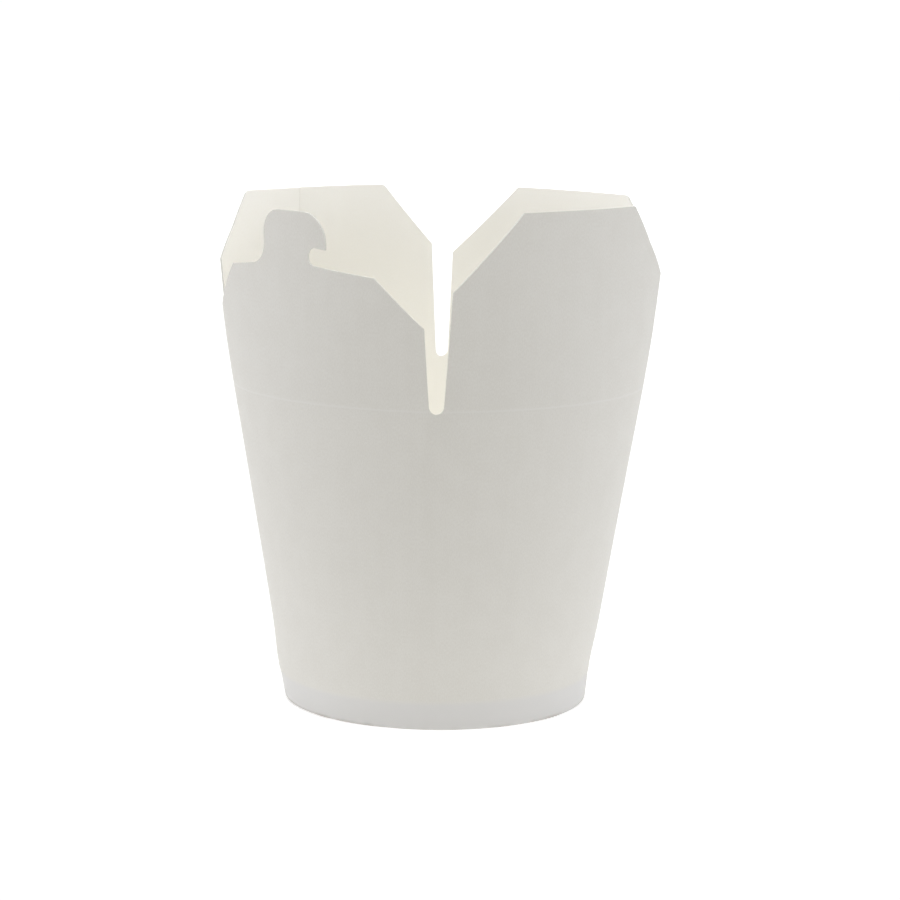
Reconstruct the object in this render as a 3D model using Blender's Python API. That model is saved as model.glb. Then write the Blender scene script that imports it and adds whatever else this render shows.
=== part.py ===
"""Kebab box: a round-bottomed paperboard takeaway box that stands open.

One sheet of card is wound into a cone and lapped, and its top is cut into four flaps. A second
piece, the base, is a disc whose skirt is turned down and crimped into the foot of the cone. The
foot is round. Towards the score line the wall turns into four flatter panels that meet in a soft
corner under each slot, and the flaps carry the panels on upwards.

Frame: +Z up, the origin on the standing plane at the middle of the foot. The four slots lie on
-Y, +X, +Y and -X, so each flap is centred on a diagonal. Each flap turns about the straight
chord between its own two lower corners.
"""

import math

import bmesh
import bpy
from mathutils import Matrix, Vector

MM = 0.001

# ---- driving sizes -----------------------------------------------------------------------------
CARD = 0.4 * MM  # thickness of the board
CLEARANCE = 0.3 * MM  # between pieces that touch or fold on each other

FOOT_RADIUS = 37.2 * MM  # outside, at the standing plane
SCORE_HEIGHT = 77.4 * MM  # standing plane to the score line that the flaps fold at
SCORE_CORNER = 50.0 * MM  # axis to the outside of a corner, at the score line
SCORE_MIDDLE = 47.6 * MM  # axis to the outside of a panel's middle, at the score line
PANEL_ONSET = 1.5  # power of height by which the round foot becomes four panels
FLAP_FLARE = 0.1755  # how far a flap's edges lean out for each unit of height, at the score line
FLARE_EASE = 0.593  # per metre: the higher up, the less they lean

FLAP_WIDTH = 73.0 * MM  # each flap is a strip with parallel sides, along the arc
HINGE_INSET = 0.05 * MM  # keeps a folded flap's lower corners off the wall's rim
SLOT_FOOT_RADIUS = 1.6 * MM  # round end of a slot
SLOT_FOOT_DROP = 0.3 * MM  # how far that round end dips below the score line

FOOT_ROLL = 0.4 * MM  # outer edges of the fold that the box stands on
CRIMP_HEIGHT = 6.0 * MM  # how far the cone's foot is folded up inside
BASE_HEIGHT = 7.0 * MM  # standing plane to the base's upper face

# A plain flap: height, half-width of its top edge, height of its side edges.
PLAIN_FLAP = dict(height=45.0 * MM, half_top=18.8 * MM, side=27.9 * MM)
# The flap with the lap seam is cut wider at the top.
SEAM_FLAP = dict(height=45.2 * MM, half_top=23.2 * MM, side=29.6 * MM)
# The hook flap has low shoulders, which rise towards the hook.
HOOK_FLAP = dict(height=44.1 * MM, half_top=25.2 * MM, side=19.2 * MM)
SHOULDER_END = 30.0 * MM  # height of the hook flap's shoulders at their outer ends
SHOULDER_ROOT = 32.0 * MM  # and where they meet the hook
HOOK_LEFT = -10.0 * MM  # the hook's straight edge, from the flap's middle
HOOK_TIP = 11.5 * MM  # the hook's point
HOOK_NECK = 6.3 * MM  # the end of the notch under that point
HOOK_BARB = 36.2 * MM  # height of the hook's lower edge over the notch
BARB_DROP = 0.6 * MM  # how far that edge slopes down to the point
CUT_CORNER = 0.5 * MM  # corners that the die rounds off
SHOULDER_FILLET = 4.2 * MM  # between the hook's straight edge and its shoulder
SHOULDER_SLOPE = 0.4 * MM  # how far that shoulder lies under the other one, at the hook
HOOK_NOSE = 6.2 * MM  # round of the hook's top over its point
HOOK_HEEL = 4.9 * MM  # and over its straight edge
NOTCH_ROUND = 2.0 * MM

QUARTER_STEPS = 20  # facets along one panel
WALL_LEVELS = 8
FLAP_COLUMNS = 18
FLAP_ROWS = 6
ROUND_STEPS = 5  # points on each rounded corner of a flap

FLAPS = {  # name: (azimuth of its middle in degrees from -Y towards +X, its cut, its outward lean)
    "flap_plain_right": (45, PLAIN_FLAP, 0.009),
    "flap_plain_back": (135, PLAIN_FLAP, 0.018),
    "flap_seam": (225, SEAM_FLAP, -0.008),
    "flap_hook": (315, HOOK_FLAP, 0.015),
}


# ---- form of the wall --------------------------------------------------------------------------
def panel_arc(corner, middle):
    """Centre offset and radius of the arc through a panel's middle and its two corners."""
    half = corner / math.sqrt(2)
    centre = (2 * half**2 - middle**2) / (2 * (half - middle))
    return centre, middle - centre


def half_panel_angle(corner, middle):
    """Angle at the arc's centre from a panel's middle to its corner."""
    centre, radius = panel_arc(corner, middle)
    return math.asin(corner / math.sqrt(2) / radius)


def score_girth_radius():
    """Radius of the circle as long as the four panel arcs together, at the score line."""
    centre, radius = panel_arc(SCORE_CORNER, SCORE_MIDDLE)
    return 8 * radius * half_panel_angle(SCORE_CORNER, SCORE_MIDDLE) / math.tau


def wall_arc(z):
    """The panel arc of the cone's outside at height z: the girth grows evenly with height."""
    share = z / SCORE_HEIGHT
    at_score = score_girth_radius()
    girth_radius = FOOT_RADIUS + (at_score - FOOT_RADIUS) * share
    corner = girth_radius + (SCORE_CORNER - at_score) * share**PANEL_ONSET
    middle = girth_radius + (SCORE_MIDDLE - at_score) * share**PANEL_ONSET
    return panel_arc(corner, middle)


def flap_arc(height, lean):
    """The panel arc of a flap's outside at that height above the score line."""
    corner = SCORE_CORNER + FLAP_FLARE * height - FLARE_EASE * height**2
    return panel_arc(corner, SCORE_MIDDLE + lean * height)


def wall_point(azimuth, z, inset):
    """A point of the wall, inset from its outside, on the vertical plane at that azimuth."""
    centre, radius = wall_arc(max(z, 0.0))
    off_middle = azimuth % (math.pi / 2) - math.pi / 4
    reach = centre * math.cos(off_middle)
    reach += math.sqrt((radius - inset) ** 2 - (centre * math.sin(off_middle)) ** 2)
    return Vector((reach * math.sin(azimuth), -reach * math.cos(azimuth), z))


# ---- helpers -----------------------------------------------------------------------------------
def card_material(name, colour, roughness):
    material = bpy.data.materials.new(name)
    material.use_nodes = True
    shader = material.node_tree.nodes["Principled BSDF"]
    shader.inputs["Base Color"].default_value = (*colour, 1.0)
    shader.inputs["Roughness"].default_value = roughness
    shader.inputs["Metallic"].default_value = 0.0
    return material


def finish_object(name, bm, material):
    """Turns a bmesh into a smooth-shaded object of one closed body, faces outwards."""
    bmesh.ops.recalc_face_normals(bm, faces=bm.faces)
    mesh = bpy.data.meshes.new(name)
    bm.to_mesh(mesh)
    bm.free()
    mesh.shade_smooth()
    mesh.set_sharp_from_angle(angle=math.radians(35))
    mesh.materials.append(material)
    obj = bpy.data.objects.new(name, mesh)
    bpy.context.scene.collection.objects.link(obj)
    return obj


def wall_ring_azimuths():
    """Azimuths round the box, evenly spaced, with one on each corner."""
    count = 4 * QUARTER_STEPS
    return [math.tau * i / count for i in range(count)]


def sweep_profile(bm, profile, closed):
    """Carries a profile of (height, inset) points round the wall. Returns its two end rings."""
    azimuths = wall_ring_azimuths()
    ring = [bm.verts.new(wall_point(a, *profile[0])) for a in azimuths]
    edges = [bm.edges.new((v, ring[i - 1])) for i, v in enumerate(ring)]
    first = edges
    for height, inset in profile[1:]:
        grown = bmesh.ops.extrude_edge_only(bm, edges=edges)["geom"]
        ring = [e for e in grown if isinstance(e, bmesh.types.BMVert)]
        edges = [e for e in grown if isinstance(e, bmesh.types.BMEdge)]
        edges = [e for e in edges if e.verts[0] in ring and e.verts[1] in ring]
        for vert in ring:
            azimuth = math.atan2(vert.co.x, -vert.co.y) % math.tau
            vert.co = wall_point(azimuth, height, inset)
    if closed:
        bmesh.ops.bridge_loops(bm, edges=first + edges)
    return first, edges


# ---- sleeve: the wound cone below the score line -----------------------------------------------
def build_sleeve(material):
    rim = SCORE_HEIGHT - CLEARANCE / 2
    pocket = CARD + 2 * CLEARANCE  # holds the base's skirt
    fold = CARD + pocket  # inset of the folded-up edge's outer face
    levels = [FOOT_ROLL + (rim - FOOT_ROLL) * i / WALL_LEVELS for i in range(WALL_LEVELS + 1)]
    profile = [(0.0, FOOT_ROLL)]
    profile += [(z, 0.0) for z in levels]
    profile += [(z, CARD) for z in reversed(levels)]
    profile += [(CARD, fold), (CRIMP_HEIGHT, fold), (CRIMP_HEIGHT, fold + CARD)]
    profile += [(FOOT_ROLL, fold + CARD), (0.0, fold + CARD - FOOT_ROLL)]
    bm = bmesh.new()
    sweep_profile(bm, profile, closed=True)
    return finish_object("sleeve", bm, material)


# ---- base: a disc with its skirt turned down into the crimp ------------------------------------
def build_base(material):
    foot = CARD + CLEARANCE
    outer = CARD + CLEARANCE
    inner = outer + CARD
    underside = BASE_HEIGHT - CARD
    profile = [
        (underside, inner + CARD),
        (underside - CARD, inner),
        (foot, inner),
        (foot, outer),
        (underside, outer),
        (BASE_HEIGHT, outer + CARD),
    ]
    bm = bmesh.new()
    under_edges, top_edges = sweep_profile(bm, profile, closed=False)
    for edges in (under_edges, top_edges):
        bmesh.ops.contextual_create(bm, geom=edges)
    return finish_object("base", bm, material)


# ---- flaps -------------------------------------------------------------------------------------
def rounded_outline(corners):
    """Replaces each (x, y, radius) corner by an arc that touches both of its sides."""
    points = []
    for i, (x, y, radius) in enumerate(corners):
        here = Vector((x, y))
        before = Vector(corners[i - 1][:2])
        after = Vector(corners[(i + 1) % len(corners)][:2])
        if radius == 0:
            points.append(here)
            continue
        back = (before - here).normalized()
        ahead = (after - here).normalized()
        half_angle = math.acos(max(-1.0, min(1.0, back.dot(ahead)))) / 2
        centre = here + (back + ahead).normalized() * (radius / math.sin(half_angle))
        reach = radius / math.tan(half_angle)
        start = here + back * reach - centre
        end = here + ahead * reach - centre
        turn = start.angle_signed(end)
        for step in range(ROUND_STEPS + 1):
            spoke = start.copy()
            spoke.rotate(Matrix.Rotation(-turn * step / ROUND_STEPS, 2))
            points.append(centre + spoke)
    return points


def flap_foot_half_width():
    """Half of a flap's lower edge, which widens by the round ends of the slots beside it."""
    above_foot = SLOT_FOOT_RADIUS - SLOT_FOOT_DROP - CLEARANCE / 2
    return FLAP_WIDTH / 2 + SLOT_FOOT_RADIUS - math.sqrt(SLOT_FOOT_RADIUS**2 - above_foot**2)


def slot_side_corners(side_height):
    """A flap's right-hand side: out of the slot's round end, and straight up to the corner cut."""
    edge = FLAP_WIDTH / 2
    return [
        (flap_foot_half_width(), CLEARANCE / 2, 0.0),
        (edge, SLOT_FOOT_RADIUS - SLOT_FOOT_DROP, 0.0),
        (edge, side_height, CUT_CORNER),
    ]


def mirrored(corners):
    return [(-x, y, radius) for x, y, radius in reversed(corners)]


def plain_outline(cut):
    right = slot_side_corners(cut["side"]) + [(cut["half_top"], cut["height"], CUT_CORNER)]
    return right + mirrored(right)


def hook_outline(cut):
    """Low shoulders and a hook whose point looks right, over a round-bottomed notch."""
    sides = slot_side_corners(cut["side"]) + [(cut["half_top"], SHOULDER_END, CUT_CORNER)]
    hook = [
        (HOOK_NECK, SHOULDER_ROOT, NOTCH_ROUND),
        (HOOK_NECK, HOOK_BARB, NOTCH_ROUND),
        (HOOK_TIP, HOOK_BARB - BARB_DROP, 0.0),
        (HOOK_TIP, cut["height"], HOOK_NOSE),
        (HOOK_LEFT, cut["height"], HOOK_HEEL),
        (HOOK_LEFT, SHOULDER_ROOT - SHOULDER_SLOPE, SHOULDER_FILLET),
    ]
    return sides + hook + mirrored(sides)


def cut_into_cells(bm, width, height):
    """Cuts the flat flap along evenly spaced upright and level lines, so that it can bend."""
    for i in range(1, FLAP_COLUMNS):
        x = width * (i / FLAP_COLUMNS - 0.5)
        geometry = bm.verts[:] + bm.edges[:] + bm.faces[:]
        bmesh.ops.bisect_plane(bm, geom=geometry, plane_co=(x, 0, 0), plane_no=(1, 0, 0))
    for i in range(1, FLAP_ROWS):
        y = height * i / FLAP_ROWS
        geometry = bm.verts[:] + bm.edges[:] + bm.faces[:]
        bmesh.ops.bisect_plane(bm, geom=geometry, plane_co=(0, y, 0), plane_no=(0, 1, 0))


def hinge_reach():
    """Axis of the box to the chord between a flap's lower corners, just inside their inner face."""
    centre, radius = flap_arc(0.0, 0.0)
    inner_corner = centre + (radius - CARD) * math.cos(flap_foot_half_width() / radius)
    return inner_corner - HINGE_INSET


def build_flap(name, azimuth_deg, cut, lean, material):
    """Cuts a flap flat, gives it its thickness, and bends it to the panel's arc."""
    outline = hook_outline(cut) if cut is HOOK_FLAP else plain_outline(cut)
    bm = bmesh.new()
    bm.faces.new([bm.verts.new((p.x, p.y, 0.0)) for p in rounded_outline(outline)])
    cut_into_cells(bm, FLAP_WIDTH, cut["height"])
    bmesh.ops.triangulate(bm, faces=bm.faces)
    sheet = bmesh.ops.extrude_face_region(bm, geom=bm.faces[:], use_keep_orig=True)["geom"]
    for vert in (v for v in sheet if isinstance(v, bmesh.types.BMVert)):
        vert.co.z = CARD
    reach = hinge_reach()
    for vert in bm.verts:  # flat: along the arc, up the flap, and in from its outer face
        along, height, inset = vert.co
        centre, radius = flap_arc(height, lean)
        angle = along / radius
        outwards = centre + (radius - inset) * math.cos(angle) - reach
        vert.co = ((radius - inset) * math.sin(angle), -outwards, height)
    flap = finish_object(name, bm, material)
    azimuth = math.radians(azimuth_deg)
    flap.location = (reach * math.sin(azimuth), -reach * math.cos(azimuth), SCORE_HEIGHT)
    flap.rotation_euler = (0.0, 0.0, azimuth)
    return flap


# ---- the box -----------------------------------------------------------------------------------
def main():
    for obj in list(bpy.data.objects):
        bpy.data.objects.remove(obj)
    outside = card_material("white_card", (0.80, 0.79, 0.76), 0.62)
    inside = card_material("cream_card", (0.86, 0.83, 0.74), 0.55)
    build_sleeve(outside)
    build_base(inside)
    for name, (azimuth_deg, cut, lean) in FLAPS.items():
        build_flap(name, azimuth_deg, cut, lean, outside)


main()
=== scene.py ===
"""Kebab box, standing open: the looks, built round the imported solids.

The box is two pieces of white food board. One sheet, cream inside, is wound into a cone and
lapped, and its top is cut into four flaps that fold at a pressed score line. A round base is
crimped into the foot.
"""

import math

import bmesh
import bpy
from mathutils import Matrix, Vector, noise


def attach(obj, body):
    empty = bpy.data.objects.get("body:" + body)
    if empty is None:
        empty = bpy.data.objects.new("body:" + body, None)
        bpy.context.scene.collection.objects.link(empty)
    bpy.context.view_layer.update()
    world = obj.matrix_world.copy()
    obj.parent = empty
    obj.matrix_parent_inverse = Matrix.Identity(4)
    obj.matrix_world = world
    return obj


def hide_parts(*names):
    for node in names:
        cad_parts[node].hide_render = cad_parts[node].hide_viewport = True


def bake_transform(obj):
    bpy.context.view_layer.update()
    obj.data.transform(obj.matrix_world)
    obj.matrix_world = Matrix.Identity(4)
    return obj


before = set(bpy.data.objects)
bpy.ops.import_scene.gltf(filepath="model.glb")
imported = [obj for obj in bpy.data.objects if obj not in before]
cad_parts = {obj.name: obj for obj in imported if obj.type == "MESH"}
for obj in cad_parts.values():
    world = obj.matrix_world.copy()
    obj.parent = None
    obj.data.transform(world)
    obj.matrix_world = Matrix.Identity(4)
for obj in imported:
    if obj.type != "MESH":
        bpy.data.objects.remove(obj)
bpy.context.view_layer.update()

MM = 0.001

# ---- studio ------------------------------------------------------------------------------------
# A wide white floor in a pale room that is brightest behind the box. A long-focus camera stands in
# front, a little above the box and very slightly askew. Soft lights hang overhead and at both
# sides. The floor glows as a light table does, most just in front of the box, and a soft spot
# whitens it all round, so the box is lit from below as well.
FLOOR_RADIUS = 4.7
FLOOR_WHITE = (0.92, 0.92, 0.92)
FLOOR_ROUGHNESS = 0.9
FLOOR_SHEEN = 0.2
FLOOR_GLOW = 0.51
GLOW_PLACE = (0.0, -0.03, 0.0)
GLOW_REACH = 0.06
ROOM_WHITE = (1.0, 1.0, 1.0)
ROOM_STRENGTH = 0.5
ROOM_BEHIND = 0.54  # added to that straight behind the box
ROOM_FALLOFF = 4.0  # power by which it fades towards the camera's side
CAMERA_PLACE = (6.57 * MM, -669.1 * MM, 167.6 * MM)
CAMERA_PITCH = 0.1581  # radians below level
CAMERA_YAW = 0.0053  # radians to the left of straight ahead
CAMERA_ROLL = 0.0114  # radians anticlockwise
CAMERA_LENS = 110.7  # mm
CAMERA_SENSOR = 36.0  # mm wide

# name: (place, aim, width, height, power in watts, colour)
LIGHTS = {
    "overhead": ((0.0, -0.1, 1.5), (0.0, 0.0, 0.06), 1.6, 1.6, 12.0, (1.0, 1.0, 1.0)),
    "left_side": ((-1.3, 0.2, 0.2), (0.0, 0.0, 0.06), 1.0, 0.4, 3.85, (0.965, 0.99, 1.1)),
    "right_side": ((1.3, 0.2, 0.2), (0.0, 0.0, 0.06), 1.0, 0.4, 3.6, (0.965, 1.0, 1.12)),
    "far_floor": ((0.0, 3.0, 1.6), (0.0, 3.0, 0.0), 4.0, 2.5, 95.0, (1.0, 1.0, 1.0)),
}
SPOT_PLACE = (0.0, -0.03, 1.2)  # it points straight down
SPOT_SPREAD = 0.155  # radius of its pool of light on the floor
SPOT_SOFTNESS = 0.1
SPOT_POWER = 14.0

camera = bpy.data.objects.new("camera", bpy.data.cameras.new("camera"))
bpy.context.scene.collection.objects.link(camera)
camera.data.lens = CAMERA_LENS
camera.data.sensor_width = CAMERA_SENSOR
turned = Matrix.Rotation(CAMERA_YAW, 3, "Z") @ Matrix.Rotation(math.pi / 2 - CAMERA_PITCH, 3, "X")
camera.location = CAMERA_PLACE
camera.rotation_euler = (turned @ Matrix.Rotation(CAMERA_ROLL, 3, "Z")).to_euler()
bpy.context.scene.camera = camera

for name, (place, aim, width, height, power, colour) in LIGHTS.items():
    lamp = bpy.data.lights.new(name, "AREA")
    lamp.shape = "RECTANGLE"
    lamp.size = width
    lamp.size_y = height
    lamp.energy = power
    lamp.color = colour
    light = bpy.data.objects.new(name, lamp)
    light.location = place
    light.rotation_euler = (Vector(place) - Vector(aim)).to_track_quat("Z", "Y").to_euler()
    bpy.context.scene.collection.objects.link(light)

lamp = bpy.data.lights.new("floor_spot", "SPOT")
lamp.energy = SPOT_POWER
lamp.spot_size = 2 * math.atan(SPOT_SPREAD / SPOT_PLACE[2])
lamp.spot_blend = 1.0
lamp.shadow_soft_size = SPOT_SOFTNESS
light = bpy.data.objects.new("floor_spot", lamp)
light.location = SPOT_PLACE
bpy.context.scene.collection.objects.link(light)


def new_group(name, inputs, outputs):
    """An empty shader node group with the named value sockets, its entry and its exit."""
    group = bpy.data.node_groups.new(name, "ShaderNodeTree")
    for socket, (kind, default) in inputs.items():
        made = group.interface.new_socket(socket, in_out="INPUT", socket_type=kind)
        if default is not None:
            made.default_value = default
    for socket, kind in outputs.items():
        group.interface.new_socket(socket, in_out="OUTPUT", socket_type=kind)
    entry = group.nodes.new("NodeGroupInput")
    leave = group.nodes.new("NodeGroupOutput")
    return group, entry, leave


def add(tree, kind, values=None, **settings):
    """Adds a node, sets its properties, then links or sets each named input."""
    node = tree.nodes.new(kind)
    for key, value in settings.items():
        setattr(node, key, value)
    for socket, value in (values or {}).items():
        if isinstance(value, bpy.types.NodeSocket):
            tree.links.new(value, node.inputs[socket])
        else:
            node.inputs[socket].default_value = value
    return node


def maths(tree, operation, *values):
    """Adds one step of arithmetic and gives its result."""
    return add(tree, "ShaderNodeMath", dict(enumerate(values)), operation=operation).outputs[0]


room = bpy.data.worlds.new("room")
room.use_nodes = True
tree = room.node_tree
background = tree.nodes["Background"]
background.inputs["Color"].default_value = (*ROOM_WHITE, 1.0)
towards = add(tree, "ShaderNodeTexCoord")
split = add(tree, "ShaderNodeSeparateXYZ", {0: towards.outputs["Generated"]})
behind = maths(tree, "MULTIPLY_ADD", split.outputs["Y"], 0.5, 0.5)
behind = maths(tree, "POWER", behind, ROOM_FALLOFF)
strength = maths(tree, "MULTIPLY_ADD", behind, ROOM_BEHIND, ROOM_STRENGTH)
tree.links.new(strength, background.inputs["Strength"])
bpy.context.scene.world = room
bpy.context.scene.view_settings.view_transform = "Standard"


CRISP_ANGLE = math.radians(35)  # between two faces: past it, their edge is crisp


def object_from(name, bm, materials):
    """Turns a bmesh into a smooth-shaded object that keeps its cut edges crisp."""
    mesh = bpy.data.meshes.new(name)
    bm.to_mesh(mesh)
    bm.free()
    mesh.shade_smooth()
    mesh.set_sharp_from_angle(angle=CRISP_ANGLE)
    for material in materials:
        mesh.materials.append(material)
    obj = bpy.data.objects.new(name, mesh)
    bpy.context.scene.collection.objects.link(obj)
    return obj


floor_paint = bpy.data.materials.new("floor_paint")
floor_paint.use_nodes = True
tree = floor_paint.node_tree
shader = tree.nodes["Principled BSDF"]
shader.inputs["Base Color"].default_value = (*FLOOR_WHITE, 1.0)
shader.inputs["Roughness"].default_value = FLOOR_ROUGHNESS
shader.inputs["Specular IOR Level"].default_value = FLOOR_SHEEN
shader.inputs["Emission Color"].default_value = (1.0, 1.0, 1.0, 1.0)
floor_place = {0: add(tree, "ShaderNodeTexCoord").outputs["Object"], 1: GLOW_PLACE}
off_glow = add(tree, "ShaderNodeVectorMath", floor_place, operation="DISTANCE").outputs["Value"]
off_glow = maths(tree, "DIVIDE", off_glow, GLOW_REACH)
fade = maths(tree, "MULTIPLY", maths(tree, "POWER", off_glow, 2.0), -1.0)
glow = maths(tree, "MULTIPLY", maths(tree, "EXPONENT", fade), FLOOR_GLOW)
tree.links.new(glow, shader.inputs["Emission Strength"])

bm = bmesh.new()
bmesh.ops.create_circle(bm, cap_ends=True, segments=96, radius=FLOOR_RADIUS)
floor = object_from("floor", bm, [floor_paint])


# ---- wound wall --------------------------------------------------------------------------------
# One sheet of board, wound into a cone. Its two ends are glued in a lap at the back left, and its
# foot is folded up inside over the base's skirt and crimped. The foot is round; towards the score
# line the wall turns into four flatter panels that meet in a soft corner under each slot.
CARD = 0.4 * MM
FOOT_RADIUS = 37.2 * MM  # outside, at the floor
SCORE_HEIGHT = 77.4 * MM
SCORE_CORNER = 50.2 * MM  # axis to the outside of a corner before it is softened, at the score line
SCORE_MIDDLE = 47.6 * MM  # axis to the outside of a panel's middle, there
PANEL_ONSET = 1.5  # power by which the panels flatten from the round foot up
FLAP_FLARE = 0.1725  # lean of the flaps' edges at the score line
FLARE_EASE = 0.593  # per metre: the higher up, the less they lean
SEAM_AZIMUTH = math.radians(225)  # of the panel with the lap, from -Y towards +X
LAP_OUTER_END = -6.0 * MM  # along that panel: where the outer end of the sheet stops
LAP_INNER_END = 3.8 * MM  # and where the inner end stops
LAP_SLOPE = 5.0 * MM  # in this length the sheet steps in under its other end
SKIVE = 0.85  # share of its thickness that the sheet loses at its inner end
SKIVE_REACH = 2.5 * MM  # length over which it loses it
GLUE = 0.02 * MM
CRIMP_HEIGHT = 6.8 * MM
CRIMP_DEPTH = 0.10 * MM
CRIMP_BLEND = 1.8 * MM  # height of the slope at the crimp's top
LAP_CRIMPED = 0.15  # share of the lap's step that is left where the crimp presses it
FOLD_UP_HEIGHT = 6.0 * MM  # of the folded-up end inside, above the floor
FOLD_RADIUS = 0.44 * MM  # of the sheet's middle plane, round the folded foot
SCORE_DEPTH = 0.04 * MM
SCORE_WIDTH = 0.4 * MM
SOFT_CORNER = 4.0 * MM  # reach of the softened corner, to each side
CORNER_FADE = 14.0 * MM  # and how far it goes on up the flaps
SLOT_END = 1.8 * MM  # half the height of the ellipse that a slot ends in
# For each slot, in mm: from the corner to its side before and after, going from -Y towards +X, and
# how far its end dips below the score line.
SLOTS = (
    (1.6, 1.6, 0.3),  # left
    (1.62, 1.85, 0.55),  # front
    (1.6, 1.6, 0.3),  # right
    (1.85, 1.25, -0.5),  # back: it ends above the score line
)
DIP_REACH = 1.2 * MM  # the rows of the mesh bend round a slot's end, down to this far below the top
BOARD_WAVE = 0.07 * MM  # slight unevenness of wound board
WAVE_LENGTH = 16.0 * MM
WAVE_STRETCH = 5.0  # the waves run up the board
SWAY = 0.4 * MM  # crimping has pushed the wall this much to the left, most at SWAY_HEIGHT
SWAY_HEIGHT = 9.5 * MM
SWAY_REACH = 6.0 * MM


def panel_arc(corner, middle):
    """Centre offset and radius of the arc through a panel's middle and its two corners."""
    half = corner / math.sqrt(2)
    centre = (2 * half**2 - middle**2) / (2 * (half - middle))
    return centre, middle - centre


SCORE_ARC_RADIUS = panel_arc(SCORE_CORNER, SCORE_MIDDLE)[1]
SCORE_HALF_ANGLE = math.asin(SCORE_CORNER / math.sqrt(2) / SCORE_ARC_RADIUS)
HALF_PANEL = SCORE_ARC_RADIUS * SCORE_HALF_ANGLE
PANEL = 2 * HALF_PANEL
SCORE_GIRTH_RADIUS = 4 * PANEL / math.tau
FOLD_START = FOLD_RADIUS + CARD / 2 - SCORE_HEIGHT  # height at which the foot starts to fold up


def panel_form(height, lean):
    """Centre offset, radius and half angle of a panel's outer arc at a height over the score."""
    if height > 0:
        corner = SCORE_CORNER + FLAP_FLARE * height - FLARE_EASE * height**2
        centre, radius = panel_arc(corner, SCORE_MIDDLE + lean * height)
        return centre, radius, HALF_PANEL / radius
    share = max(0.0, 1 + height / SCORE_HEIGHT)
    girth_radius = FOOT_RADIUS + (SCORE_GIRTH_RADIUS - FOOT_RADIUS) * share
    corner = girth_radius + (SCORE_CORNER - SCORE_GIRTH_RADIUS) * share**PANEL_ONSET
    middle = girth_radius + (SCORE_MIDDLE - SCORE_GIRTH_RADIUS) * share**PANEL_ONSET
    centre, radius = panel_arc(corner, middle)
    return centre, radius, math.asin(corner / math.sqrt(2) / radius)


def smooth_step(low, high, value):
    """Goes smoothly from 0 to 1 as the value passes from low to high."""
    t = min(1.0, max(0.0, (value - low) / (high - low)))
    return t * t * (3 - 2 * t)


def press_marks(along, height, half_angle):
    """How far the board lies in from its plain panel: soft corners, the score and the crimp."""
    corner = max(0.0, 1 - (HALF_PANEL - abs(along)) / SOFT_CORNER)
    kink = math.pi / 4 - (SCORE_HALF_ANGLE if height > 0 else half_angle)
    fade = 1 - smooth_step(0.0, CORNER_FADE, height)
    inset = kink * SOFT_CORNER / 2 * corner**2 * fade
    inset += SCORE_DEPTH * math.exp(-((height / SCORE_WIDTH) ** 2))
    over_crimp = height + SCORE_HEIGHT - CRIMP_HEIGHT
    inset += CRIMP_DEPTH * (1 - smooth_step(-CRIMP_BLEND / 2, CRIMP_BLEND / 2, over_crimp))
    return inset


def sway(height):
    """How far the box is pushed to the left at a height above the floor."""
    return SWAY * math.exp(-(((height - SWAY_HEIGHT) / SWAY_REACH) ** 2))


def on_panel(azimuth, along, height, inset, lean=0.0):
    """The place of a point of the board, given where it lies on its panel."""
    centre, radius, half_angle = panel_form(height, lean)
    inset += press_marks(along, height, half_angle)
    angle = azimuth + along / HALF_PANEL * half_angle
    place = Vector((math.sin(angle), -math.cos(angle), 0.0)) * radius
    place += Vector((math.sin(azimuth), -math.cos(azimuth), 0.0)) * centre
    wave_at = Vector((place.x, place.y, height / WAVE_STRETCH)) / WAVE_LENGTH
    inset += BOARD_WAVE * noise.noise(wave_at)
    place -= Vector((math.sin(angle), -math.cos(angle), 0.0)) * inset
    place.z = SCORE_HEIGHT + height
    place.x -= sway(place.z)
    return place


def give_thickness(bm):
    """Makes a flat sheet two-faced: its outer face stays at z = 0, its inner face is at CARD."""
    grown = bmesh.ops.extrude_face_region(bm, geom=bm.faces[:], use_keep_orig=True)["geom"]
    for vert in (v for v in grown if isinstance(v, bmesh.types.BMVert)):
        vert.co.z = CARD
    card_map = bm.loops.layers.uv.new("card")
    for face in bm.faces:
        inner = sum(vert.co.z > CARD / 2 for vert in face.verts)
        face.material_index = 0 if inner == 0 else 1 if inner == len(face.verts) else 2
        for loop in face.loops:
            loop[card_map].uv = loop.vert.co.xy


def steps(start, end, count):
    """Evenly spaced values from start up to, but without, end."""
    return [start + (end - start) * i / count for i in range(count)]


def fold_place(below):
    """Height, inset and tilt of the sheet's middle plane, at a length below the fold's start."""
    turn = min(math.pi, below / FOLD_RADIUS)
    up = max(0.0, below - math.pi * FOLD_RADIUS)
    height = FOLD_RADIUS + CARD / 2 - FOLD_RADIUS * math.sin(turn) + up
    inset = CARD / 2 + FOLD_RADIUS * (1 - math.cos(turn))
    return height, inset, turn


def skived(along):
    """Share of its thickness that the sheet keeps towards its inner end."""
    return 1 - SKIVE * smooth_step(LAP_INNER_END - SKIVE_REACH, LAP_INNER_END, along)


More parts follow.
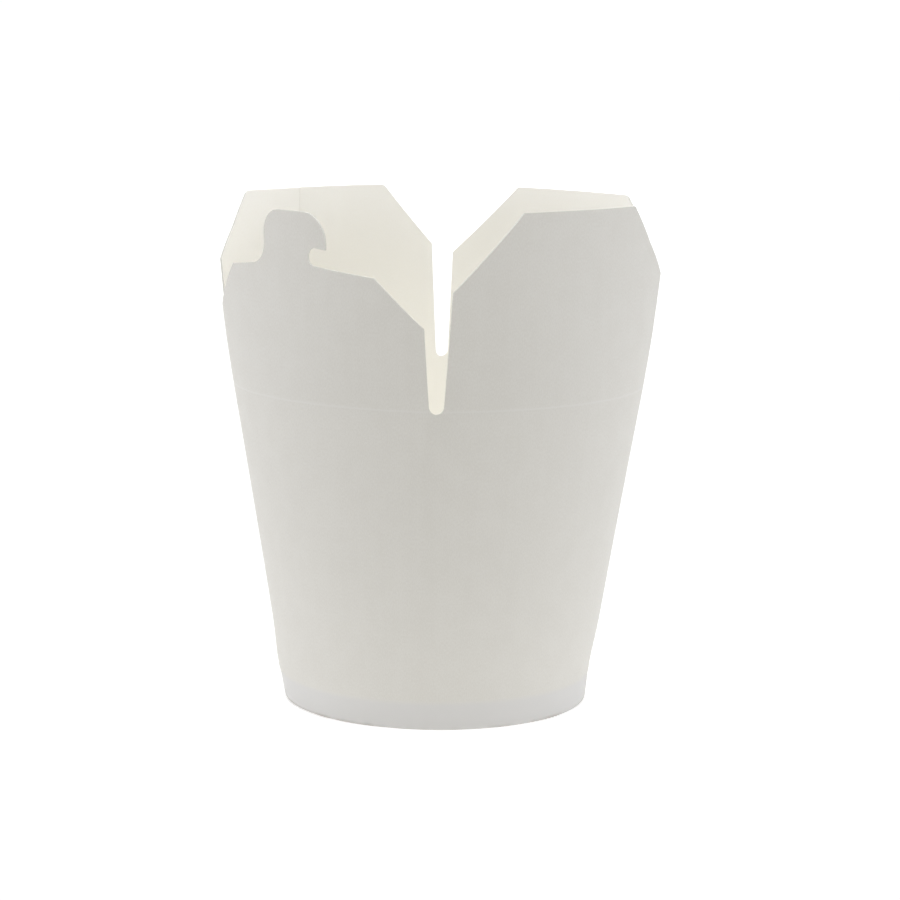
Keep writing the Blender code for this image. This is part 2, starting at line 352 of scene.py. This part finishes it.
def wound(along, height, inset):
    """A point of the wound sheet. Below the foot's fold, height goes on down as length of card."""
    panel = round(along / PANEL)
    local = along - panel * PANEL
    azimuth = SEAM_AZIMUTH + panel * math.pi / 2
    last_panel = along - 4 * PANEL
    under = smooth_step(LAP_OUTER_END - LAP_SLOPE, LAP_OUTER_END, last_panel)
    crimped = 1 - smooth_step(CRIMP_HEIGHT, CRIMP_HEIGHT + 2 * CRIMP_BLEND, height + SCORE_HEIGHT)
    lap_step = (CARD + GLUE) * under * (1 - (1 - LAP_CRIMPED) * crimped)
    inset *= skived(last_panel)
    if height >= FOLD_START:
        return on_panel(azimuth, local, height, inset + lap_step)
    up, middle_inset, turn = fold_place(FOLD_START - height)
    across = inset + lap_step - CARD / 2
    up += across * math.sin(turn)
    return on_panel(azimuth, local, up - SCORE_HEIGHT, middle_inset + across * math.cos(turn))


def slot_dip(along):
    """Height of the sheet's top edge: level, with the round end of a slot between the panels."""
    before, after, drop = SLOTS[math.floor(along / PANEL) % 4]
    off_slot = ((along / PANEL) % 1.0 - 0.5) * PANEL
    off_slot /= (before if off_slot < 0 else after) * MM
    if abs(off_slot) >= 1:
        return 0.0
    return min(0.0, SLOT_END - drop * MM - SLOT_END * math.sqrt(1 - off_slot**2))


PANEL_COLUMNS = 72
COLUMN_CROWDING = 0.75  # columns stand closer at the slots than in a panel's middle
COLUMN_GAP = 0.25 * MM  # the least that is left next to the sheet's two ends
columns = [LAP_OUTER_END]
for i in range(-PANEL_COLUMNS, 5 * PANEL_COLUMNS):
    share = i / PANEL_COLUMNS
    column = PANEL * (share + COLUMN_CROWDING * math.sin(math.tau * share) / math.tau)
    if LAP_OUTER_END + COLUMN_GAP < column < 4 * PANEL + LAP_INNER_END - COLUMN_GAP:
        columns.append(column)
columns.append(4 * PANEL + LAP_INNER_END)

# The rows lie closest at the slots' ends, in the crimp and round the folded foot.
fold_end = FOLD_START - math.pi * FOLD_RADIUS
sheet_end = fold_end + FOLD_RADIUS + CARD / 2 - FOLD_UP_HEIGHT
band_top = CRIMP_HEIGHT + CRIMP_BLEND - SCORE_HEIGHT
rows = steps(0.0, -DIP_REACH, 8) + steps(-DIP_REACH, band_top, 30) + steps(band_top, FOLD_START, 24)
rows += steps(FOLD_START, fold_end, 10) + steps(fold_end, sheet_end, 8) + [sheet_end]

bm = bmesh.new()
bmesh.ops.create_grid(bm, x_segments=len(columns) - 1, y_segments=len(rows) - 1, size=0.5)
for vert in bm.verts:
    column = round((vert.co.x + 0.5) * (len(columns) - 1))
    row = round((0.5 - vert.co.y) * (len(rows) - 1))
    vert.co.x = columns[column]
    vert.co.y = rows[row] + slot_dip(vert.co.x) * max(0.0, 1 + rows[row] / DIP_REACH)
give_thickness(bm)
for vert in bm.verts:
    vert.co = wound(*vert.co)
bmesh.ops.recalc_face_normals(bm, faces=bm.faces)


# Board grain: soft clouds where the pulp is denser, faint streaks along the board's run, and the
# tooth of single fibres. All three go to the colour, and streaks and fibres also to the relief.
CLOUD_SHARE = 0.2
STREAK_SHARE = 0.1
FIBRE_SHARE = 0.7
STREAK_RELIEF = 0.5
STREAK_STRETCH = 30.0
FIBRE_STRETCH = 2.0
TONE_RANGE = (0.36, 0.64)  # of the mixed noise, which the two tones of the board span
SHEEN_SPREAD = 0.05  # the paler the tone, the less rough
board_grain, entry, leave = new_group(
    "board_grain",
    {
        "Place": ("NodeSocketVector", None),
        "Cloud Size": ("NodeSocketFloat", 0.006),
        "Streak Size": ("NodeSocketFloat", 0.002),
        "Fibre Size": ("NodeSocketFloat", 0.0003),
    },
    {"Tone": "NodeSocketFloat", "Tooth": "NodeSocketFloat"},
)


def noise_at(tree, size_socket, stretch, detail):
    """Noise whose grains have a size in metres, drawn out along the board's height by stretch."""
    drawn = add(
        tree,
        "ShaderNodeVectorMath",
        {0: entry.outputs["Place"], 1: (1.0, 1.0 / stretch, 1.0)},
        operation="MULTIPLY",
    )
    scale = maths(tree, "DIVIDE", 1.0, size_socket)
    inputs = {"Vector": drawn.outputs[0], "Scale": scale, "Detail": detail}
    return add(tree, "ShaderNodeTexNoise", inputs).outputs["Fac"]


clouds = noise_at(board_grain, entry.outputs["Cloud Size"], 1.0, 3.0)
streaks = noise_at(board_grain, entry.outputs["Streak Size"], STREAK_STRETCH, 2.0)
fibres = noise_at(board_grain, entry.outputs["Fibre Size"], FIBRE_STRETCH, 2.0)
tone = maths(board_grain, "MULTIPLY", clouds, CLOUD_SHARE)
tone = maths(board_grain, "MULTIPLY_ADD", streaks, STREAK_SHARE, tone)
tone = maths(board_grain, "MULTIPLY_ADD", fibres, FIBRE_SHARE, tone)
tooth = maths(board_grain, "MULTIPLY_ADD", streaks, STREAK_RELIEF, fibres)
board_grain.links.new(tone, leave.inputs["Tone"])
board_grain.links.new(tooth, leave.inputs["Tooth"])


def ramp(tree, value, low, high, at_low=0.0, at_high=1.0):
    """Goes smoothly from one number to another as the value passes from low to high."""
    ends = {"Value": value, "From Min": low, "From Max": high, "To Min": at_low, "To Max": at_high}
    node = add(tree, "ShaderNodeMapRange", ends, interpolation_type="SMOOTHSTEP")
    return node.outputs["Result"]


def mixed(tree, share, first, second):
    """Mixes two colours, each a triple or a socket."""
    colours = [(*c, 1.0) if isinstance(c, tuple) else c for c in (first, second)]
    inputs = {"Factor": share, 6: colours[0], 7: colours[1]}
    return add(tree, "ShaderNodeMix", inputs, data_type="RGBA").outputs[2]


def board_material(name, light, dark, roughness, tooth_depth, sheen):
    """Board with its grain: two near tones mixed by the grain, and a little relief."""
    material = bpy.data.materials.new(name)
    material.use_nodes = True
    tree = material.node_tree
    shader = tree.nodes["Principled BSDF"]
    card_map = add(tree, "ShaderNodeUVMap", uv_map="card")
    grain = add(tree, "ShaderNodeGroup", {"Place": card_map.outputs["UV"]}, node_tree=board_grain)
    tone = ramp(tree, grain.outputs["Tone"], *TONE_RANGE)
    colour = mixed(tree, tone, dark, light)
    tree.links.new(colour, shader.inputs["Base Color"])
    dullness = ramp(tree, tone, 0.0, 1.0, roughness + SHEEN_SPREAD, roughness - SHEEN_SPREAD)
    tree.links.new(dullness, shader.inputs["Roughness"])
    relief = {"Height": grain.outputs["Tooth"], "Distance": tooth_depth, "Strength": 1.0}
    bump = add(tree, "ShaderNodeBump", relief)
    tree.links.new(bump.outputs["Normal"], shader.inputs["Normal"])
    shader.inputs["Specular IOR Level"].default_value = sheen
    return material, tree, shader, card_map, colour


# The outer face is white board, but its tones are drawn darker than such board: painted shade for
# an outside in shade. It is paler along a thin strip at the score line, a shade greyer where the
# crimp has pressed the foot, and darker in patches along the foot's edge: painted shadow where the
# foot meets the floor.
# Painted shade: both outer tones are darker than the white board itself.
SHADED_OUTSIDE_LIGHT = (0.637, 0.622, 0.576)
SHADED_OUTSIDE_DARK = (0.609, 0.591, 0.543)
SCORE_PALE = (0.662, 0.649, 0.614)
SCORE_CORE = 0.1 * MM  # half the width of the palest strip
SCORE_HALF_WIDTH = 0.35 * MM  # and half that of all that is paler
SCORE_FADE = 0.5
CRIMP_GREY = (0.600, 0.591, 0.571)
CRIMP_FADE = 0.9
# Painted shadow: the foot's edge is darkened in patches, where it meets the floor.
FOOT_PAINTED_SHADOW = (0.440, 0.415, 0.380)
FOOT_SHADOW_BELOW = 0.4 * MM  # from the start of the fold down, and up
FOOT_SHADOW_HEIGHT = 0.5 * MM
FOOT_SHADOW_PATCH = 14.0 * MM
FOOT_SHADOW_PATCH_RANGE = (0.35, 0.6)  # of the noise, from no painted shadow to full painted shadow
card_outside, tree, shader, card_map, colour = board_material(
    "card_outside", SHADED_OUTSIDE_LIGHT, SHADED_OUTSIDE_DARK, roughness=0.62, tooth_depth=0.02 * MM, sheen=0.35
)
up_sheet = add(tree, "ShaderNodeSeparateXYZ", {0: card_map.outputs["UV"]}).outputs["Y"]
off_score = maths(tree, "ABSOLUTE", up_sheet)
score_mask = ramp(tree, off_score, SCORE_CORE, SCORE_HALF_WIDTH, SCORE_FADE, 0.0)
crimp_edge = CRIMP_HEIGHT - SCORE_HEIGHT
crimp_blend = (crimp_edge - CRIMP_BLEND / 2, crimp_edge + CRIMP_BLEND / 2)
crimp_mask = ramp(tree, up_sheet, *crimp_blend, CRIMP_FADE, 0.0)
patch_noise = {"Vector": card_map.outputs["UV"], "Scale": 1 / FOOT_SHADOW_PATCH, "Detail": 2.0}
patches = add(tree, "ShaderNodeTexNoise", patch_noise).outputs["Fac"]
# Painted shadow along the foot's edge, in patches, from just below the fold's start a little up.
foot_shadow_mask = ramp(tree, up_sheet, FOLD_START - FOOT_SHADOW_BELOW, FOLD_START + FOOT_SHADOW_HEIGHT, 1.0, 0.0)
foot_shadow_mask = maths(tree, "MULTIPLY", foot_shadow_mask, ramp(tree, patches, *FOOT_SHADOW_PATCH_RANGE))
colour = mixed(tree, crimp_mask, colour, CRIMP_GREY)
colour = mixed(tree, foot_shadow_mask, colour, FOOT_PAINTED_SHADOW)
colour = mixed(tree, score_mask, colour, SCORE_PALE)
tree.links.new(colour, shader.inputs["Base Color"])

# The inner face carries a thin film that keeps grease out: creamier, and with a faint sheen. Its
# tones are drawn paler than such board: painted light for the lit inside.
LIT_INSIDE_LIGHT = (0.976, 0.962, 0.912)
LIT_INSIDE_DARK = (0.962, 0.945, 0.888)
card_inside = board_material(
    "card_inside", LIT_INSIDE_LIGHT, LIT_INSIDE_DARK, roughness=0.45, tooth_depth=0.01 * MM, sheen=0.4
)[0]

# Die-cut edges show the raw pulp, a little paler and rougher than the outer face.
EDGE_LIGHT = (0.700, 0.690, 0.650)
EDGE_DARK = (0.660, 0.648, 0.605)
card_edge = board_material(
    "card_edge", EDGE_LIGHT, EDGE_DARK, roughness=0.85, tooth_depth=0.03 * MM, sheen=0.2
)[0]

BOARD = [card_outside, card_inside, card_edge]
wall = object_from("wound_wall", bm, BOARD)
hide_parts("sleeve")
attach(wall, "cup")


# ---- base --------------------------------------------------------------------------------------
# A disc of the same board, cream side up. Its rim is turned down into a skirt, which the folded
# foot of the wall grips. Drawing the skirt down leaves fine puckers round the disc's edge.
BASE_HEIGHT = 7.0 * MM
BASE_SAG = 0.25 * MM
SKIRT_GAP = 0.05 * MM  # to the wall round it
SKIRT_FOOT = 0.8 * MM  # height of its lower edge
RIM_BEND = 0.9 * MM
RIM_STEPS = 6
BASE_STEPS = 192
PUCKERS = 48
PUCKER_DEPTH = 0.05 * MM
PUCKER_ZONE = (0.8, 0.97)  # shares of the disc's radius over which they set in
PUCKER_DRIFT = 6.0  # radians by which they stray from an even spacing
PUCKER_DRIFT_SCALE = 3
WALL_SLOPE = (SCORE_GIRTH_RADIUS - FOOT_RADIUS) / SCORE_HEIGHT


def skirt_radius(height):
    """Radius of the skirt's outside at a height above the floor."""
    return FOOT_RADIUS + WALL_SLOPE * height - CRIMP_DEPTH - CARD - SKIRT_GAP


def base_profile():
    """Half of the base's cut, as (radius, height): along the top, down the skirt, and back."""
    bend = skirt_radius(BASE_HEIGHT) - RIM_BEND
    top = [(share * bend, BASE_HEIGHT - BASE_SAG * (1 - share**2)) for share in steps(0.0, 1.0, 10)]
    under = [(radius, height - CARD) for radius, height in top]
    low = BASE_HEIGHT - RIM_BEND
    inner = RIM_BEND - CARD
    for i in range(RIM_STEPS + 1):
        turn = math.pi / 2 * i / RIM_STEPS
        top.append((bend + RIM_BEND * math.sin(turn), low + RIM_BEND * math.cos(turn)))
        under.append((bend + inner * math.sin(turn), low + inner * math.cos(turn)))
    top.append((skirt_radius(SKIRT_FOOT), SKIRT_FOOT))
    under.append((skirt_radius(SKIRT_FOOT) - CARD, SKIRT_FOOT))
    return top + under[::-1]


bm = bmesh.new()
ring = [bm.verts.new((radius, 0.0, height)) for radius, height in base_profile()]
edges = [bm.edges.new(pair) for pair in zip(ring, ring[1:])]
bmesh.ops.spin(
    bm,
    geom=ring + edges,
    axis=(0, 0, 1),
    cent=(0, 0, 0),
    angle=math.tau,
    steps=BASE_STEPS,
    use_merge=True,
)
bmesh.ops.remove_doubles(bm, verts=bm.verts, dist=0.001 * MM)
card_map = bm.loops.layers.uv.new("card")
bmesh.ops.recalc_face_normals(bm, faces=bm.faces)
for face in bm.faces:
    faces_down = face.normal.z < -0.3 or face.calc_center_median().z < SKIRT_FOOT
    face.material_index = 0 if faces_down else 1
    for loop in face.loops:
        loop[card_map].uv = loop.vert.co.xy
for vert in bm.verts:
    radius = vert.co.xy.length
    rim = smooth_step(*PUCKER_ZONE, radius / skirt_radius(BASE_HEIGHT))
    azimuth = math.atan2(vert.co.y, vert.co.x)
    round_rim = Vector((math.cos(azimuth), math.sin(azimuth), 0.0))
    drift = PUCKER_DRIFT * noise.noise(round_rim * PUCKER_DRIFT_SCALE)
    vert.co.z += PUCKER_DEPTH * rim * math.sin(PUCKERS * azimuth + drift)
    vert.co.z += BOARD_WAVE * noise.noise(vert.co / WAVE_LENGTH)
    vert.co.x -= sway(vert.co.z)
base = object_from("pressed_base", bm, [card_outside, card_inside])
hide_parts("base")
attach(base, "cup")


# ---- flaps -------------------------------------------------------------------------------------
# Four tongues of the same sheet above the score line, cut with parallel sides, so that a slot
# opens between each pair. Folding one bends the card just above the score.
FOLD_ZONE = 3.0 * MM  # the strip of card that bends when a flap folds
WEB_GAP = 0.02 * MM  # between two flaps, below a slot that ends above the score
CUT_ROUND_STEPS = 6
SLOT_END_STEPS = 8
BEND_ROWS = 14
UPPER_ROWS = 28
FLAP_COLUMN = 1.0 * MM


def cut_flap(corners):
    """Cuts a flap's flat outline and rounds each (x, y, radius) corner as the die does."""
    bm = bmesh.new()
    verts = [bm.verts.new((x, y, 0.0)) for x, y, radius in corners]
    bm.faces.new(verts)
    for vert, (x, y, radius) in zip(verts, corners):
        if not radius:
            continue
        sides = [edge.other_vert(vert).co - vert.co for edge in vert.link_edges]
        reach = radius / math.tan(sides[0].angle(sides[1]) / 2)
        bmesh.ops.bevel(
            bm,
            geom=[vert],
            offset=reach,
            affect="VERTICES",
            segments=CUT_ROUND_STEPS,
            profile=0.5,
            material=-1,
        )
    return bm


def flap_sides(panel, right, left):
    """A flap's right and left sides: round the slot's end, then over the corners given in mm."""
    sides = []
    for slot, side, upper in ((panel, 0, right), (panel - 1, 1, left)):
        half_width = SLOTS[slot % 4][side] * MM
        drop = SLOTS[slot % 4][2] * MM
        first = math.asin(min(1.0, 1 - drop / SLOT_END))
        corners = [(HALF_PANEL - WEB_GAP, 0.0, 0.0)] if drop < 0 else []
        for i in range(SLOT_END_STEPS + 1):
            turn = first * (1 - i / SLOT_END_STEPS)
            off_slot = max(WEB_GAP, half_width * math.cos(turn))
            corners.append((HALF_PANEL - off_slot, SLOT_END * (1 - math.sin(turn)) - drop, 0.0))
        corners += [(x * MM, y * MM, radius * MM) for x, y, radius in upper]
        sides.append(corners)
    return sides[0], [(-x, y, radius) for x, y, radius in reversed(sides[1])]


def cells(bm):
    """Cuts the flat flap along level and upright lines, close together over the fold."""
    height = max(vert.co.y for vert in bm.verts)
    levels = steps(0.0, FOLD_ZONE, BEND_ROWS) + steps(FOLD_ZONE, height, UPPER_ROWS)
    across = math.floor(HALF_PANEL / FLAP_COLUMN)
    cuts = [((0, level, 0), (0, 1, 0)) for level in levels[1:]]
    cuts += [((i * FLAP_COLUMN, 0, 0), (1, 0, 0)) for i in range(-across, across + 1)]
    for place, direction in cuts:
        geometry = bm.verts[:] + bm.edges[:] + bm.faces[:]
        bmesh.ops.bisect_plane(bm, geom=geometry, plane_co=place, plane_no=direction)
    bmesh.ops.triangulate(bm, faces=[f for f in bm.faces if len(f.verts) > 4])


def bend_flap(bm, panel, lean, lap_step=None):
    """Gives a cut flap its thickness and bends it to its panel's arc, on that panel of the box."""
    give_thickness(bm)
    card_map = bm.loops.layers.uv["card"]
    for face in bm.faces:
        for loop in face.loops:
            loop[card_map].uv.x += panel * PANEL
    azimuth = SEAM_AZIMUTH + panel * math.pi / 2
    for vert in bm.verts:
        along, height, inset = vert.co
        if lap_step:
            inset = inset * skived(along) + lap_step(along)
        vert.co = on_panel(azimuth, along, height, inset, lean)
    bmesh.ops.recalc_face_normals(bm, faces=bm.faces)
    return bm


def hang_flap(name, bm, node):
    """Makes the finished flap, hides the imported part that it stands for and bakes its place into
    its mesh.
    """
    flap = object_from(name, bm, BOARD)
    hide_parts(node)
    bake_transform(flap)


# ---- plain flaps -------------------------------------------------------------------------------
# The front right and back right flaps are cut nearly alike: straight sides, slanted shoulders and
# a level top. The first folds in before all others. A cut gives the upper corners of the flap's
# right and left side as (x, height, radius) in mm, and a lean is how far the middle leans out.
RIGHT_LEAN = 0.009
BACK_LEAN = 0.018
RIGHT_CUT = (
    ((36.5, 27.9, 0.4), (27.3, 35.9, 0.0), (18.8, 45.0, 0.4)),
    ((36.1, 27.5, 0.4), (18.8, 45.0, 0.4)),
)
BACK_CUT = (
    ((36.95, 27.45, 0.5), (18.8, 45.0, 0.5)),
    ((36.5, 27.9, 0.5), (19.2, 45.0, 1.9)),
)
for name, panel, cut, lean, node, body in (
    ("right_flap", 2, RIGHT_CUT, RIGHT_LEAN, "flap_plain_right", "plain_right"),
    ("back_flap", 3, BACK_CUT, BACK_LEAN, "flap_plain_back", "plain_back"),
):
    right, left = flap_sides(panel, *cut)
    bm = cut_flap(right + left)
    cells(bm)
    bend_flap(bm, panel, lean)
    hang_flap(name, bm, node)

# ---- hook flap ---------------------------------------------------------------------------------
# The front left flap has low shoulders and ends in a hook, which locks behind the edge of the
# flap that it meets when the box is shut.
HOOK_LEAN = 0.015
HOOK_CUT = (((36.5, 19.2, 0.5), (24.7, 30.1, 0.9)), ((36.5, 19.2, 0.5), (25.2, 30.0, 0.6)))
HOOK_TOP = 44.1 * MM
SHOULDER_ROOT = 32.0 * MM
SHOULDER_SLOPE = 0.4 * MM
SHOULDER_FILLET = 4.7 * MM
HOOK_LEFT = -10.25 * MM
HOOK_TIP = 11.25 * MM
HOOK_TIP_ROUND = 0.2 * MM
HOOK_NECK = 5.8 * MM
HOOK_BARB = 36.2 * MM
BARB_DROP = 0.6 * MM
HOOK_NOSE = 7.0 * MM
HOOK_HEEL = 5.4 * MM
HOOK_WAIST = (-9.8 * MM, 36.6 * MM, 4.0 * MM)  # the hook's back draws in a little here
NOTCH_ROUND = 2.0 * MM

right, left = flap_sides(1, *HOOK_CUT)
hook = [
    (HOOK_NECK, SHOULDER_ROOT, NOTCH_ROUND),
    (HOOK_NECK, HOOK_BARB, NOTCH_ROUND),
    (HOOK_TIP, HOOK_BARB - BARB_DROP, HOOK_TIP_ROUND),
    (HOOK_TIP, HOOK_TOP, HOOK_NOSE),
    (HOOK_LEFT, HOOK_TOP, HOOK_HEEL),
    HOOK_WAIST,
    (HOOK_LEFT, SHOULDER_ROOT - SHOULDER_SLOPE, SHOULDER_FILLET),
]
bm = cut_flap(right + hook + left)
cells(bm)
bend_flap(bm, 1, HOOK_LEAN)
hang_flap("hook_flap", bm, "flap_hook")

# ---- seam flap ---------------------------------------------------------------------------------
# The back left flap is made of both ends of the sheet, glued over each other in the lap. Each end
# is cut by itself, and the outer one comes out a hair lower.
SEAM_CUT = (
    ((36.5, 29.6, 0.5), (29.7, 36.95, 0.0), (23.5, 45.5, 2.0)),
    ((37.1, 29.6, 0.5), (23.5, 45.2, 2.0)),
)
SEAM_LEAN = -0.008
SEAM_MISMATCH = 0.15 * MM
SEAM_TOP_ZONE = (40.0 * MM, 44.0 * MM)  # the shortening sets in between these heights


def seam_half(low, high, shortened):
    """The part of the seam flap between two upright lines, its top edge shortened a little."""
    right, left = flap_sides(0, *SEAM_CUT)
    bm = cut_flap(right + left)
    for vert in bm.verts:
        vert.co.y -= shortened * smooth_step(*SEAM_TOP_ZONE, vert.co.y)
    for place, direction in ((low, -1), (high, 1)):
        if place is None:
            continue
        geometry = bm.verts[:] + bm.edges[:] + bm.faces[:]
        bmesh.ops.bisect_plane(
            bm, geom=geometry, plane_co=(place, 0, 0), plane_no=(direction, 0, 0), clear_outer=True
        )
    cells(bm)
    return bm


def under_lap(along):
    """How far the inner end of the sheet lies in, under the outer one."""
    under = smooth_step(LAP_OUTER_END - LAP_SLOPE, LAP_OUTER_END, along)
    return (CARD + GLUE) * under


outer = bend_flap(seam_half(LAP_OUTER_END, None, SEAM_MISMATCH), 0, SEAM_LEAN)
inner = bend_flap(seam_half(None, LAP_INNER_END, 0.0), 0, SEAM_LEAN, under_lap)
joined = bpy.data.meshes.new("seam_outer")
outer.to_mesh(joined)
outer.free()
inner.from_mesh(joined)
bpy.data.meshes.remove(joined)
hang_flap("seam_flap", inner, "flap_seam")
